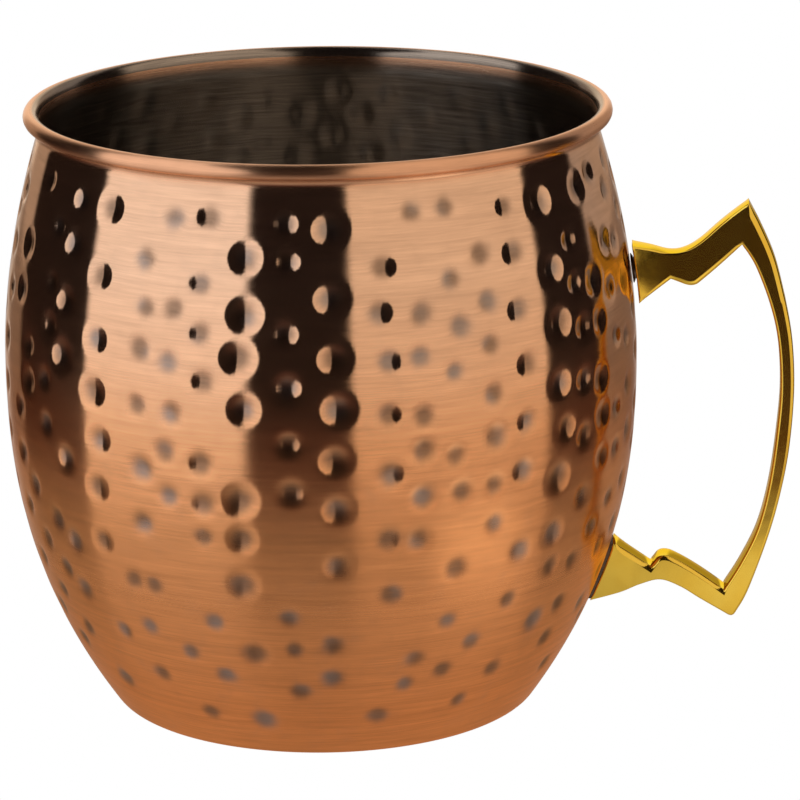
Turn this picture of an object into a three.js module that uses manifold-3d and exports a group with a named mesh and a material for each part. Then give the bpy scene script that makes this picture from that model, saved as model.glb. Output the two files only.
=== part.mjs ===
// A large hammered barrel mug: a thin drawn shell with a rolled rim, and a cast handle that is
// held to the wall by two welded studs. Its upper foot stands clear of the wall, and its lower
// foot is seated on a thin pad of weld metal.
//
// Millimetres, +Z up. The origin is the centre of the flat base, on the surface that the mug
// stands on, and the handle points along +X.

import * as THREE from 'three';
import * as BufferGeometryUtils from 'three/addons/utils/BufferGeometryUtils.js';
import Module from 'manifold-3d';

// ---------------------------------------------------------------- driving dimensions

const BELLY_RADIUS = 102.5;      // widest outside radius
const BELLY_HEIGHT = 115;        // height of that widest ring
const BASE_RADIUS = 68.6;        // where the wall line meets the standing plane
const NECK_RADIUS = 89.9;        // outside radius just under the rim
const NECK_HEIGHT = 189;
const LOWER_POWER = 2.41;        // how late the wall turns in towards the base
const UPPER_POWER = 1.84;        // how late it turns in towards the neck
const WALL = 1.0;                // sheet thickness
const FLOOR = 1.4;               // sheet thickness of the flat base
const BASE_CORNER = 3.2;         // size of the rounded edge round the base
const CORNER_LIFT = 0.8;         // height of that edge, as a share of its size
const CORNER_STEPS = 4;
const FLOOR_CORNER_BULGE = 0.6;  // shape of the rounded edge round the floor inside
const FLOOR_CORNER_REACH = 1.8;

const BEAD_RADIUS = 2.45;        // the rim is rolled outwards into this bead
const BEAD_CENTRE_RADIUS = 91.9;
const BEAD_CENTRE_HEIGHT = 194.5;
const BEAD_START_ANGLE = -135;   // degrees round the bead where it leaves the outer wall
const BEAD_STEPS = 12;

const RADIAL_SEGMENTS = 72;
const WALL_STEPS = 18;

// Thickness of the handle from side to side, along Y.
const LOWER_ARM_THICKNESS = 10.0;
const UPPER_ARM_THICKNESS = 7.8;
const FOOT_THICKNESS = 11.2;
const TAPER_BOTTOM = 45;         // the bow thins from this height
const TAPER_TOP = 150;           // up to this one
const FLARE_START = 8;           // a foot starts to thin this far off the wall
const FLARE_END = 18;            // and has become its arm this far off
const HANDLE_BEVEL = 0.8;
const HANDLE_BEVEL_STEPS = 2;
const HANDLE_CURVE_STEPS = 3;
const FOOT_STEPS = 4;
const UPPER_FOOT_GAP = 1.5;      // how far the face of each foot stands off the wall
const LOWER_FOOT_GAP = 0.9;

const STUD_RADIUS = 3.6;
const STUD_DEPTH = 7.0;          // how far a stud reaches into its foot
const UPPER_STUD_HEIGHT = 142.6;
const LOWER_STUD_HEIGHT = 40.0;
const COLLAR_RADIUS = 4.8;       // ring of weld metal round the root of the upper stud
const COLLAR_HEIGHT = 0.7;
const COLLAR_EDGE = 0.25;
const PAD_WIDTH = 9.2;           // pad of weld metal behind the lower foot, along Y
const PAD_BOTTOM = 33.4;
const PAD_TOP = 49.2;
const PAD_STEPS = 5;
const CLEARANCE = 0.3;           // between pieces that touch on the real mug
const STUD_SEGMENTS = 32;
const MERGE_DISTANCE = 1e-4;

// Handle outline in its own plane: distance from the mug's axis, then height.
const UPPER_FOOT_TOP = 150.8;
const UPPER_ARM_TOP = [[106.6, 149.8], [112.8, 148.4], [117.6, 149.1], [122.6, 152.1],
  [128.9, 157.8], [134.0, 162.0]];
const PEAK = [138.0, 165.0];
const OUTER_BOW = [[141.6, 158.4], [146.6, 146.7], [150.2, 132.9], [152.6, 119.5],
  [153.4, 103.0], [152.2, 84.5], [149.7, 69.3], [145.8, 53.9], [139.4, 35.3]];
const TAIL = [134.4, 25.8];
const LOWER_ARM_BOTTOM = [[130.3, 28.3], [123.7, 32.2], [117.1, 36.3], [110.6, 38.6],
  [104.0, 36.9], [97.5, 34.1]];
const LOWER_FOOT_BOTTOM = 31.4;
const LOWER_FOOT_TOP = 51.3;
const LOWER_NOTCH = [107.3, 43.1];
const LOWER_LOBE = [[108.9, 45.2], [110.3, 47.4], [113.8, 46.4]];
const LOWER_ARM_CONTROL = [120.4, 43.6];
const LOWER_CORNER = [131.3, 35.3];
const INNER_BOW = [[136.8, 44.6], [142.2, 56.6], [145.8, 72.1], [148.1, 90.9],
  [148.9, 105.0], [147.9, 119.7], [145.2, 131.6], [140.4, 144.2]];
const UPPER_CORNER = [136.0, 151.2];
const UPPER_ARM_CONTROL = [129.0, 144.2];
const UPPER_LOBE = [[122.6, 138.7], [120.4, 136.6], [116.4, 138.5]];
const UPPER_NOTCH = [113.3, 139.7];
const UPPER_FOOT_BOTTOM = 132.0;

// ---------------------------------------------------------------- materials

function metal(color, roughness) {
  return new THREE.MeshStandardMaterial({ color, roughness, metalness: 1.0 });
}

const copper = metal(0xb8744a, 0.28);
const brass = metal(0xd9b040, 0.18);
const steel = metal(0x4a4643, 0.35);
const weldMetal = metal(0x33302e, 0.55);

// ---------------------------------------------------------------- wall curve

/** Outside radius of the barrel at height z. */
function wallRadius(z) {
  if (z < BELLY_HEIGHT) {
    const below = (BELLY_HEIGHT - z) / BELLY_HEIGHT;
    return BELLY_RADIUS - (BELLY_RADIUS - BASE_RADIUS) * below ** LOWER_POWER;
  }
  const above = (z - BELLY_HEIGHT) / (NECK_HEIGHT - BELLY_HEIGHT);
  return BELLY_RADIUS - (BELLY_RADIUS - NECK_RADIUS) * above ** UPPER_POWER;
}

/** How fast that radius grows with height. */
function wallSlope(z) {
  const step = 0.01;
  return (wallRadius(z + step) - wallRadius(z - step)) / (2 * step);
}

/** A point at height z that lies `off` the wall, measured square to it. */
function offWall(z, off) {
  return [wallRadius(z) + off * Math.hypot(1, wallSlope(z)), z];
}

// ---------------------------------------------------------------- mug body

/** Outside of the shell, from the centre of the base up to the root of the bead. */
function outerProfile() {
  const cornerTop = BASE_CORNER * CORNER_LIFT;
  const corner = new THREE.QuadraticBezierCurve(
    new THREE.Vector2(BASE_RADIUS - BASE_CORNER, 0),
    new THREE.Vector2(BASE_RADIUS, 0),
    new THREE.Vector2(wallRadius(cornerTop), cornerTop),
  );
  const points = [new THREE.Vector2(0, 0), ...corner.getPoints(CORNER_STEPS)];
  for (let i = 1; i <= WALL_STEPS; i += 1) {
    const z = THREE.MathUtils.lerp(cornerTop, NECK_HEIGHT, i / WALL_STEPS);
    points.push(new THREE.Vector2(wallRadius(z), z));
  }
  return points;
}

/** The rolled bead, from the outer wall over the top to the inner wall. */
function beadProfile() {
  const points = [];
  for (let i = 0; i <= BEAD_STEPS; i += 1) {
    const angle = THREE.MathUtils.degToRad(
      THREE.MathUtils.lerp(BEAD_START_ANGLE, 180, i / BEAD_STEPS),
    );
    points.push(new THREE.Vector2(
      BEAD_CENTRE_RADIUS + BEAD_RADIUS * Math.cos(angle),
      BEAD_CENTRE_HEIGHT + BEAD_RADIUS * Math.sin(angle),
    ));
  }
  return points;
}

/** Inside of the shell, from the neck down to the centre of the floor. */
function innerProfile() {
  const floorEdge = FLOOR + BASE_CORNER;
  const points = [];
  for (let i = 0; i <= WALL_STEPS; i += 1) {
    const z = THREE.MathUtils.lerp(NECK_HEIGHT, floorEdge, i / WALL_STEPS);
    points.push(new THREE.Vector2(...offWall(z, -WALL)));
  }
  const [edgeRadius] = offWall(floorEdge, -WALL);
  const corner = new THREE.QuadraticBezierCurve(
    new THREE.Vector2(edgeRadius, floorEdge),
    new THREE.Vector2(edgeRadius - BASE_CORNER * FLOOR_CORNER_BULGE, FLOOR),
    new THREE.Vector2(edgeRadius - BASE_CORNER * FLOOR_CORNER_REACH, FLOOR),
  );
  return [...points, ...corner.getPoints(CORNER_STEPS).slice(1), new THREE.Vector2(0, FLOOR)];
}

function makeBody() {
  const profile = [...outerProfile(), ...beadProfile(), ...innerProfile()];
  const geometry = new THREE.LatheGeometry(profile, RADIAL_SEGMENTS);
  geometry.rotateX(Math.PI / 2);
  const mesh = new THREE.Mesh(geometry, copper);
  mesh.name = 'mug_body';
  return mesh;
}

// ---------------------------------------------------------------- studs and their seats

/** Place and tilt of a stud: on the wall at height z, square to it, pointing outwards. */
function studSeat(z) {
  const tilt = Math.atan(wallSlope(z));
  return {
    point: new THREE.Vector3(wallRadius(z), 0, z),
    turn: new THREE.Matrix4().makeRotationY(-(Math.PI / 2 - tilt) + Math.PI),
  };
}

/** A cylinder that starts `from` the wall and ends `to` the wall, along the stud's own line. */
function onSeat(radius, from, to, seat) {
  const geometry = new THREE.CylinderGeometry(radius, radius, to - from, STUD_SEGMENTS);
  geometry.rotateX(Math.PI / 2);
  geometry.translate(0, 0, (from + to) / 2);
  geometry.applyMatrix4(seat.turn);
  geometry.translate(seat.point.x, seat.point.y, seat.point.z);
  return geometry;
}

function makeStud(name, z, footGap) {
  const mesh = new THREE.Mesh(
    onSeat(STUD_RADIUS, CLEARANCE, footGap + STUD_DEPTH, studSeat(z)),
    steel,
  );
  mesh.name = name;
  return mesh;
}

/** The low ring of weld metal round the root of the upper stud, thin at its outer edge. */
function makeCollar() {
  const seat = studSeat(UPPER_STUD_HEIGHT);
  const inner = STUD_RADIUS + CLEARANCE;
  const outline = [
    new THREE.Vector2(inner, CLEARANCE),
    new THREE.Vector2(COLLAR_RADIUS, CLEARANCE),
    new THREE.Vector2(COLLAR_RADIUS, CLEARANCE + COLLAR_EDGE),
    new THREE.Vector2(inner, CLEARANCE + COLLAR_HEIGHT),
    new THREE.Vector2(inner, CLEARANCE),
  ];
  const geometry = new THREE.LatheGeometry(outline, STUD_SEGMENTS);
  geometry.rotateX(Math.PI / 2);
  geometry.applyMatrix4(seat.turn);
  geometry.translate(seat.point.x, seat.point.y, seat.point.z);
  const mesh = new THREE.Mesh(geometry, weldMetal);
  mesh.name = 'upper_weld';
  return mesh;
}

// ---------------------------------------------------------------- handle

function toVectors(points) {
  return points.map(([x, z]) => new THREE.Vector2(x, z));
}

/** Draws the face of a foot from its bottom to its top, or back, along the curve of the wall. */
function followWall(outline, start, end, gap) {
  for (let i = 1; i <= FOOT_STEPS; i += 1) {
    outline.lineTo(...offWall(THREE.MathUtils.lerp(start, end, i / FOOT_STEPS), gap));
  }
}

/** The handle's outline, starting at the top of the upper foot and going round the outside. */
function handleOutline() {
  const outline = new THREE.Shape();
  outline.moveTo(...offWall(UPPER_FOOT_TOP, UPPER_FOOT_GAP));
  outline.splineThru(toVectors([...UPPER_ARM_TOP, PEAK]));
  outline.splineThru(toVectors([...OUTER_BOW, TAIL]));
  outline.splineThru(toVectors([...LOWER_ARM_BOTTOM, offWall(LOWER_FOOT_BOTTOM, LOWER_FOOT_GAP)]));
  followWall(outline, LOWER_FOOT_BOTTOM, LOWER_FOOT_TOP, LOWER_FOOT_GAP);
  outline.lineTo(...LOWER_NOTCH);
  outline.lineTo(...LOWER_LOBE[0]);
  outline.quadraticCurveTo(...LOWER_LOBE[1], ...LOWER_LOBE[2]);
  outline.quadraticCurveTo(...LOWER_ARM_CONTROL, ...LOWER_CORNER);
  outline.splineThru(toVectors([...INNER_BOW, UPPER_CORNER]));
  outline.quadraticCurveTo(...UPPER_ARM_CONTROL, ...UPPER_LOBE[0]);
  outline.quadraticCurveTo(...UPPER_LOBE[1], ...UPPER_LOBE[2]);
  outline.lineTo(...UPPER_NOTCH);
  outline.lineTo(...offWall(UPPER_FOOT_BOTTOM, UPPER_FOOT_GAP));
  followWall(outline, UPPER_FOOT_BOTTOM, UPPER_FOOT_TOP, UPPER_FOOT_GAP);
  return outline;
}

/** Thickness of the handle at a point of its outline. */
function handleThickness(x, z) {
  const rise = THREE.MathUtils.smoothstep(z, TAPER_BOTTOM, TAPER_TOP);
  const arm = THREE.MathUtils.lerp(LOWER_ARM_THICKNESS, UPPER_ARM_THICKNESS, rise);
  const away = THREE.MathUtils.smoothstep(x - wallRadius(z), FLARE_START, FLARE_END);
  return THREE.MathUtils.lerp(FOOT_THICKNESS, arm, away);
}

const wasm = await Module();
wasm.setup();

/** A closed geometry as a solid that can be cut. */
function toSolid(geometry) {
  const bare = geometry.clone();
  bare.deleteAttribute('normal');
  bare.deleteAttribute('uv');
  const merged = BufferGeometryUtils.mergeVertices(bare, MERGE_DISTANCE);
  return new wasm.Manifold(new wasm.Mesh({
    numProp: 3,
    vertProperties: new Float32Array(merged.attributes.position.array),
    triVerts: new Uint32Array(merged.index.array),
  }));
}

/** The geometry of a solid. */
function toGeometry(solid) {
  const mesh = solid.getMesh();
  const geometry = new THREE.BufferGeometry();
  geometry.setAttribute('position', new THREE.BufferAttribute(mesh.vertProperties, 3));
  geometry.setIndex(new THREE.BufferAttribute(mesh.triVerts, 1));
  geometry.computeVertexNormals();
  return geometry;
}

/** The cast handle, with a blind hole in each foot for its stud. */
function makeHandle() {
  const casting = new THREE.ExtrudeGeometry(handleOutline(), {
    depth: LOWER_ARM_THICKNESS - 2 * HANDLE_BEVEL,
    curveSegments: HANDLE_CURVE_STEPS,
    bevelEnabled: true,
    bevelThickness: HANDLE_BEVEL,
    bevelSize: HANDLE_BEVEL,
    bevelOffset: -HANDLE_BEVEL,
    bevelSegments: HANDLE_BEVEL_STEPS,
  });
  casting.rotateX(Math.PI / 2);
  casting.translate(0, LOWER_ARM_THICKNESS / 2 - HANDLE_BEVEL, 0);
  const place = casting.attributes.position;
  for (let i = 0; i < place.count; i += 1) {
    const share = handleThickness(place.getX(i), place.getZ(i)) / LOWER_ARM_THICKNESS;
    place.setY(i, place.getY(i) * share);
  }

  let solid = toSolid(casting);
  for (const [z, footGap] of [
    [UPPER_STUD_HEIGHT, UPPER_FOOT_GAP],
    [LOWER_STUD_HEIGHT, LOWER_FOOT_GAP],
  ]) {
    const holeDepth = footGap + STUD_DEPTH + CLEARANCE;
    const hole = onSeat(STUD_RADIUS + CLEARANCE, 0, holeDepth, studSeat(z));
    solid = solid.subtract(toSolid(hole));
  }
  const mesh = new THREE.Mesh(toGeometry(solid), brass);
  mesh.name = 'handle';
  return mesh;
}

/** The thin pad of weld metal between the wall and the lower foot, holed for the stud. */
function makePad() {
  const heights = Array.from(
    { length: PAD_STEPS + 1 },
    (_, i) => THREE.MathUtils.lerp(PAD_BOTTOM, PAD_TOP, i / PAD_STEPS),
  );
  const back = heights.map((z) => offWall(z, CLEARANCE));
  const front = heights.map((z) => offWall(z, LOWER_FOOT_GAP - CLEARANCE)).reverse();
  const sheet = new THREE.ExtrudeGeometry(new THREE.Shape(toVectors([...back, ...front])), {
    depth: PAD_WIDTH,
    bevelEnabled: false,
  });
  sheet.rotateX(Math.PI / 2);
  sheet.translate(0, PAD_WIDTH / 2, 0);
  const hole = onSeat(
    STUD_RADIUS + CLEARANCE,
    -LOWER_FOOT_GAP,
    2 * LOWER_FOOT_GAP,
    studSeat(LOWER_STUD_HEIGHT),
  );
  const mesh = new THREE.Mesh(toGeometry(toSolid(sheet).subtract(toSolid(hole))), weldMetal);
  mesh.name = 'lower_weld';
  return mesh;
}

// ---------------------------------------------------------------- assembly

const mug = new THREE.Group();
mug.add(makeBody());
mug.add(makeHandle());
mug.add(makeStud('upper_stud', UPPER_STUD_HEIGHT, UPPER_FOOT_GAP));
mug.add(makeStud('lower_stud', LOWER_STUD_HEIGHT, LOWER_FOOT_GAP));
mug.add(makeCollar());
mug.add(makePad());

export default mug;
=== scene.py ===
# %% [markdown]
# # A hammered copper mug
#
# This lesson builds the looks of a large barrel mug round its imported CAD model. The CAD model
# holds the sizes and the places where the pieces meet. Nothing on the mug moves. Here each
# visible piece is modelled finely enough to carry real reflections, because polished metal shows
# its shape only through them.
#
# The first cell loads the CAD model, bakes each piece into place, and gives a way to read a piece's
# box.

import math

import bmesh
import bpy
import numpy as np
from mathutils import Matrix, Vector


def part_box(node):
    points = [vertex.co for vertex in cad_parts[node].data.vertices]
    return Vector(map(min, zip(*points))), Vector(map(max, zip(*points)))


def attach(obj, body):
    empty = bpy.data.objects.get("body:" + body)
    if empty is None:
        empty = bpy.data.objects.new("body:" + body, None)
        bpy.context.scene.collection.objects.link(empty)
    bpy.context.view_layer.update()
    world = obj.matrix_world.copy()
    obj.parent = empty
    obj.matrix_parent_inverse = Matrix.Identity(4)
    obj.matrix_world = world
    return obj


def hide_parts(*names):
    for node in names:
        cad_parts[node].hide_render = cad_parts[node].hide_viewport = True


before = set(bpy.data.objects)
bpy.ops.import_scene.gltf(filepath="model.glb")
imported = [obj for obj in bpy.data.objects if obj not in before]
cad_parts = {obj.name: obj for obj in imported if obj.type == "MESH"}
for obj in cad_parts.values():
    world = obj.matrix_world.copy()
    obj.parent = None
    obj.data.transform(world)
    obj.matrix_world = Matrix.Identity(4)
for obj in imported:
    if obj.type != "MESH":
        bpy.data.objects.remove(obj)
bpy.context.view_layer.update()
MM = 0.001
print("CAD nodes:", sorted(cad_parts))

# %% [markdown]
# ## The camera and the room
#
# The camera stands well back with a long lens, a little above the rim, and slightly to the
# handle's side of square. Polished metal is a picture of its room, so the room comes next: two
# tall soft boxes with a dark gap between them, a white backdrop behind, and a pale table.
# Angles round the room are counted from the place where the camera stands at first, and grow
# to its right. The room stays where it is when the mug is looked at from another side.

# %% Place the camera
CAMERA_TURN = math.radians(4.5)
CAMERA_RISE = math.radians(15.72)
CAMERA_ROLL = math.radians(-0.822)
CAMERA_DISTANCE = 1.400
CAMERA_AIM = Vector((0.0, 0.0, 0.100))
LENS = 193.0
LOOK_RIGHT = math.radians(1.040)
LOOK_DOWN = math.radians(0.109)

toward_camera = Vector((math.sin(CAMERA_TURN), -math.cos(CAMERA_TURN), 0.0))
camera_right = Vector((math.cos(CAMERA_TURN), math.sin(CAMERA_TURN), 0.0))
back = toward_camera * math.cos(CAMERA_RISE) + Vector((0, 0, 1)) * math.sin(CAMERA_RISE)

camera_data = bpy.data.cameras.new("camera")
camera_data.lens = LENS
camera_data.sensor_width = 36.0
camera_data.clip_start = 0.05
camera_data.clip_end = 20.0
camera = bpy.data.objects.new("camera", camera_data)
bpy.context.scene.collection.objects.link(camera)
aim = (-back).to_track_quat("-Z", "Y").to_matrix().to_4x4()
nudge = Matrix.Rotation(-LOOK_RIGHT, 4, "Y") @ Matrix.Rotation(-LOOK_DOWN, 4, "X")
roll = Matrix.Rotation(CAMERA_ROLL, 4, "Z")
camera.matrix_world = Matrix.Translation(CAMERA_AIM + back * CAMERA_DISTANCE) @ aim @ nudge @ roll
bpy.context.scene.camera = camera
bpy.context.scene.view_settings.view_transform = "Standard"
print("camera at", [round(v, 3) for v in camera.matrix_world.translation])


# %% A helper for shader nodes
def add_node(tree, kind, inputs=None, **settings):
    """Adds a node, sets its properties, and feeds its inputs with values or other sockets."""
    node = tree.nodes.new(kind)
    for name, value in settings.items():
        setattr(node, name, value)
    for name, value in (inputs or {}).items():
        socket = node.inputs[name]
        if isinstance(value, bpy.types.NodeSocket):
            tree.links.new(value, socket)
        else:
            socket.default_value = value
    return node


def add_math(tree, operation, first, second=0.0, clamp=False):
    """One Math node, whose result is returned."""
    node = add_node(tree, "ShaderNodeMath", {0: first, 1: second}, operation=operation)
    node.use_clamp = clamp
    return node.outputs[0]


def add_ramp(tree, factor, stops, interpolation="LINEAR"):
    """A colour ramp from (position, colour) pairs."""
    node = add_node(tree, "ShaderNodeValToRGB", {"Fac": factor})
    ramp = node.color_ramp
    ramp.interpolation = interpolation
    while len(ramp.elements) < len(stops):
        ramp.elements.new(1.0)
    for element, (position, colour) in zip(ramp.elements, stops):
        element.position = position
        element.color = (*colour, 1.0)
    return node.outputs["Color"]


def add_mix(tree, factor, first, second, blend="MIX"):
    """Mixes two colours."""
    node = add_node(tree, "ShaderNodeMix", data_type="RGBA", blend_type=blend)
    for socket, value in ((node.inputs[0], factor), (node.inputs[6], first), (node.inputs[7], second)):
        if isinstance(value, bpy.types.NodeSocket):
            tree.links.new(value, socket)
        elif isinstance(value, (float, int)):
            socket.default_value = value
        else:
            socket.default_value = (*value, 1.0)
    return node.outputs[2]


# %% [markdown]
# ### The room as light
#
# The room could be built from panels, but they would stand in the way when the mug is looked at
# from behind. A world shader does the same work: it gives every direction the brightness of the
# panel that would be there. Rays that go straight from the camera see only plain white.
#
# The light is fitted to how the mug should look, and isn't a real room's. Light that comes in
# after two reflections is cut, which keeps the inside and the mirrored handle dark enough.

# %% Describe the room
DARK = (0.018, 0.013, 0.012)
LEFT_BOX = (1.02, 0.98, 0.96)
RIGHT_BOX = (0.80, 0.675, 0.55)
RIGHT_FAR = (0.78, 0.65, 0.52)
SIDE_BACKDROP = (0.40, 0.36, 0.34)
BACKDROP = (1.00, 1.00, 0.98)
FLOOR_LIGHT = (0.21, 0.19, 0.17)
FLOOR_SHINE = 0.60              # how much of a wall's light the floor before it gives back
FLOOR_EDGE = (-0.30, -0.35)     # rise of the directions where the wall gives way to the floor
BOX_LEAN = 1.0                  # how far the dark gap widens overhead
LATER_LIGHT = 0.38              # share of the room's light that is left after two reflections
BACKDROP_TOP = (0.66, 0.72)     # rise of the directions where the backdrop ends

ROOM_EDGES = [          # angle where each part of the room starts, its colour, softness of the edge
    (-180.0, BACKDROP, 0.0),
    (-158.0, SIDE_BACKDROP, 8.0),
    (-139.0, DARK, 2.0),
    (-93.0, LEFT_BOX, 1.5),
    (-27.0, DARK, 1.5),
    (10.4, RIGHT_BOX, 1.5),
    (58.0, RIGHT_FAR, 36.0),
    (88.0, DARK, 1.5),
    (120.0, SIDE_BACKDROP, 2.0),
    (165.0, BACKDROP, 8.0),
]


def room_stops(edges):
    """Turns the list of room parts into ramp stops, with a short blend at each edge."""
    stops = []
    previous = edges[0][1]
    for angle, colour, softness in edges:
        place = (angle + 180.0) / 360.0
        half = softness / 720.0
        if softness:
            stops.append((place - half, previous))
        stops.append((place + half, colour))
        previous = colour
    return stops


def add_dot(tree, vector, axis):
    """How far a vector reaches along a fixed axis."""
    node = add_node(tree, "ShaderNodeVectorMath", {0: vector, 1: axis}, operation="DOT_PRODUCT")
    return node.outputs["Value"]


def add_step(tree, value, edge):
    """A soft step from 0 to 1 between the two values of an edge."""
    node = add_node(tree, "ShaderNodeMapRange", {"Value": value, "From Min": edge[0],
                                                 "From Max": edge[1]},
                    interpolation_type="SMOOTHSTEP")
    return node.outputs["Result"]


def add_range(tree, value, source=(0.0, 1.0), target=(0.0, 1.0)):
    """Maps the range between two source values to the range between two target values."""
    node = add_node(tree, "ShaderNodeMapRange", {"Value": value, "From Min": source[0],
                                                 "From Max": source[1], "To Min": target[0],
                                                 "To Max": target[1]})
    return node.outputs["Result"]


def add_walls(tree, sideways, forward):
    """The colour of the room in a direction that is given by its two level parts."""
    angle = add_math(tree, "ARCTAN2", sideways, forward)
    turn = add_math(tree, "ADD", add_math(tree, "DIVIDE", angle, 2 * math.pi), 0.5)
    return add_ramp(tree, turn, room_stops(ROOM_EDGES)), angle


# %% Make the room
BEHIND = math.radians(110)      # angle past which a direction belongs to the backdrop's side
SECOND_REFLECTION = 2.5         # depth that a ray passes on its second reflection


def make_world():
    world = bpy.data.worlds.new("studio")
    bpy.context.scene.world = world
    world.use_nodes = True
    tree = world.node_tree
    tree.nodes.clear()
    direction = add_node(tree, "ShaderNodeTexCoord").outputs["Generated"]
    sideways = add_dot(tree, direction, camera_right)
    forward = add_dot(tree, direction, toward_camera)
    height = add_node(tree, "ShaderNodeSeparateXYZ", {0: direction}).outputs["Z"]
    upward = add_math(tree, "MAXIMUM", height, 0.0)
    lean = add_math(tree, "MULTIPLY", add_math(tree, "POWER", upward, 3.0), BOX_LEAN)
    leaning = add_math(tree, "ADD", forward, lean)
    walls, angle = add_walls(tree, sideways, leaning)
    behind = add_math(tree, "GREATER_THAN", add_math(tree, "ABSOLUTE", angle), BEHIND)
    above = add_math(tree, "MULTIPLY", add_step(tree, height, BACKDROP_TOP), behind)
    room = add_mix(tree, above, walls, DARK)
    shine = add_mix(tree, 1.0, walls, (FLOOR_SHINE,) * 3, "MULTIPLY")
    floor = add_mix(tree, 1.0, shine, FLOOR_LIGHT, "ADD")
    low = add_math(tree, "SUBTRACT", 1.0, add_step(tree, height, FLOOR_EDGE[::-1]))
    room = add_mix(tree, low, room, floor)
    path = add_node(tree, "ShaderNodeLightPath")
    straight = path.outputs["Is Camera Ray"]
    later = add_math(tree, "GREATER_THAN", path.outputs["Ray Depth"], SECOND_REFLECTION)
    room = add_mix(tree, later, room, add_mix(tree, 1.0, room, (LATER_LIGHT,) * 3, "MULTIPLY"))
    room_light = add_node(tree, "ShaderNodeBackground", {"Color": room, "Strength": 1.0})
    plain_white = add_node(tree, "ShaderNodeBackground", {"Color": (1, 1, 1, 1), "Strength": 1.0})
    either = add_node(tree, "ShaderNodeMixShader",
                      {0: straight, 1: room_light.outputs[0], 2: plain_white.outputs[0]})
    add_node(tree, "ShaderNodeOutputWorld", {"Surface": either.outputs[0]})


make_world()
print("room parts:", len(ROOM_EDGES))

# %% [markdown]
# ### The table
#
# To the camera the table is plain and pale. The metal sees it dimmer: bright near the mug, and
# falling away to a warm dark, as a table does where the soft boxes no longer reach it. Its far
# parts also mirror the room at a low angle. The mirrored share is raised to make up for the cut
# that the room's light gets after two reflections.

# %% Make the table
TABLE_FRONT = -0.75
TABLE_BACK = 1.20
TABLE_HALF_WIDTH = 0.75
TABLE_LIGHT = [                      # the table's light by distance from the axis, in metres
    (0.10, (0.52, 0.47, 0.41)),
    (0.157, (0.43, 0.38, 0.33)),
    (0.21, (0.31, 0.27, 0.235)),
    (0.28, (0.25, 0.195, 0.165)),
    (0.32, (0.13, 0.080, 0.065)),
    (0.37, (0.068, 0.031, 0.024)),
    (0.43, (0.042, 0.017, 0.012)),
    (0.62, (0.020, 0.010, 0.009)),
]
TABLE_SHINE = 0.88 / LATER_LIGHT     # the room's light that the table's far part mirrors
SHINE_REACH = (0.12, 0.44)           # distances from the axis between which that share grows
TABLE_ROUGHNESS = 0.16
BACK_SHINE = 0.55                    # how much of that is left behind the mug
BACK_REACH = (-0.05, -0.30)
GLOW = (0.42, 0.39, 0.33)            # light that the barrel throws on the table by the handle
GLOW_PLACE = Vector((0.160, 0.140, 0.0))
GLOW_REACH = (0.09, 0.03)
TABLE_DROP = 0.0002                  # keeps the table clear of the mug's base


def light_table(tree):
    """The table's light as the metal sees it, and the share of the room that it mirrors."""
    place = add_node(tree, "ShaderNodeTexCoord").outputs["Object"]
    sideways = add_dot(tree, place, camera_right)
    forward = add_dot(tree, place, toward_camera)
    radius = add_node(tree, "ShaderNodeVectorMath", {0: place}, operation="LENGTH").outputs["Value"]
    even = add_ramp(tree, radius, TABLE_LIGHT)
    level = add_node(tree, "ShaderNodeCombineXYZ", {0: sideways, 1: forward})
    away = add_node(tree, "ShaderNodeVectorMath", {0: level.outputs[0], 1: GLOW_PLACE},
                    operation="DISTANCE").outputs["Value"]
    near = add_math(tree, "SUBTRACT", 1.0, add_step(tree, away, GLOW_REACH[::-1]))
    shine = add_range(tree, radius, SHINE_REACH, (0.0, TABLE_SHINE))
    dim = add_step(tree, forward, BACK_REACH)
    dim = add_math(tree, "SUBTRACT", 1.0, add_math(tree, "MULTIPLY", dim, 1 - BACK_SHINE))
    return add_mix(tree, near, even, GLOW, "ADD"), add_math(tree, "MULTIPLY", shine, dim)


def make_table():
    bm = bmesh.new()
    bmesh.ops.create_grid(bm, x_segments=1, y_segments=1, size=0.5)
    bmesh.ops.scale(bm, verts=bm.verts, vec=(2 * TABLE_HALF_WIDTH, TABLE_BACK - TABLE_FRONT, 1))
    bmesh.ops.translate(bm, verts=bm.verts, vec=(0, (TABLE_BACK + TABLE_FRONT) / 2, -TABLE_DROP))
    mesh = bpy.data.meshes.new("table")
    bm.to_mesh(mesh)
    bm.free()
    table = bpy.data.objects.new("table", mesh)
    bpy.context.scene.collection.objects.link(table)

    material = bpy.data.materials.new("pale_table")
    material.use_nodes = True
    tree = material.node_tree
    tree.nodes.clear()
    straight = add_node(tree, "ShaderNodeLightPath").outputs["Is Camera Ray"]
    pale = add_node(tree, "ShaderNodeEmission", {"Color": (1, 1, 1, 1), "Strength": 1.0})
    light, shine = light_table(tree)
    mirrored = add_node(tree, "ShaderNodeCombineColor", {0: shine, 1: shine, 2: shine}).outputs[0]
    own = add_node(tree, "ShaderNodeEmission", {"Color": light, "Strength": 1.0}).outputs[0]
    gloss = add_node(tree, "ShaderNodeBsdfGlossy",
                     {"Color": mirrored, "Roughness": TABLE_ROUGHNESS}).outputs[0]
    seen_by_metal = add_node(tree, "ShaderNodeAddShader", {0: own, 1: gloss})
    either = add_node(tree, "ShaderNodeMixShader",
                      {0: straight, 1: seen_by_metal.outputs[0], 2: pale.outputs[0]})
    add_node(tree, "ShaderNodeOutputMaterial", {"Surface": either.outputs[0]})
    mesh.materials.append(material)


make_table()

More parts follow.
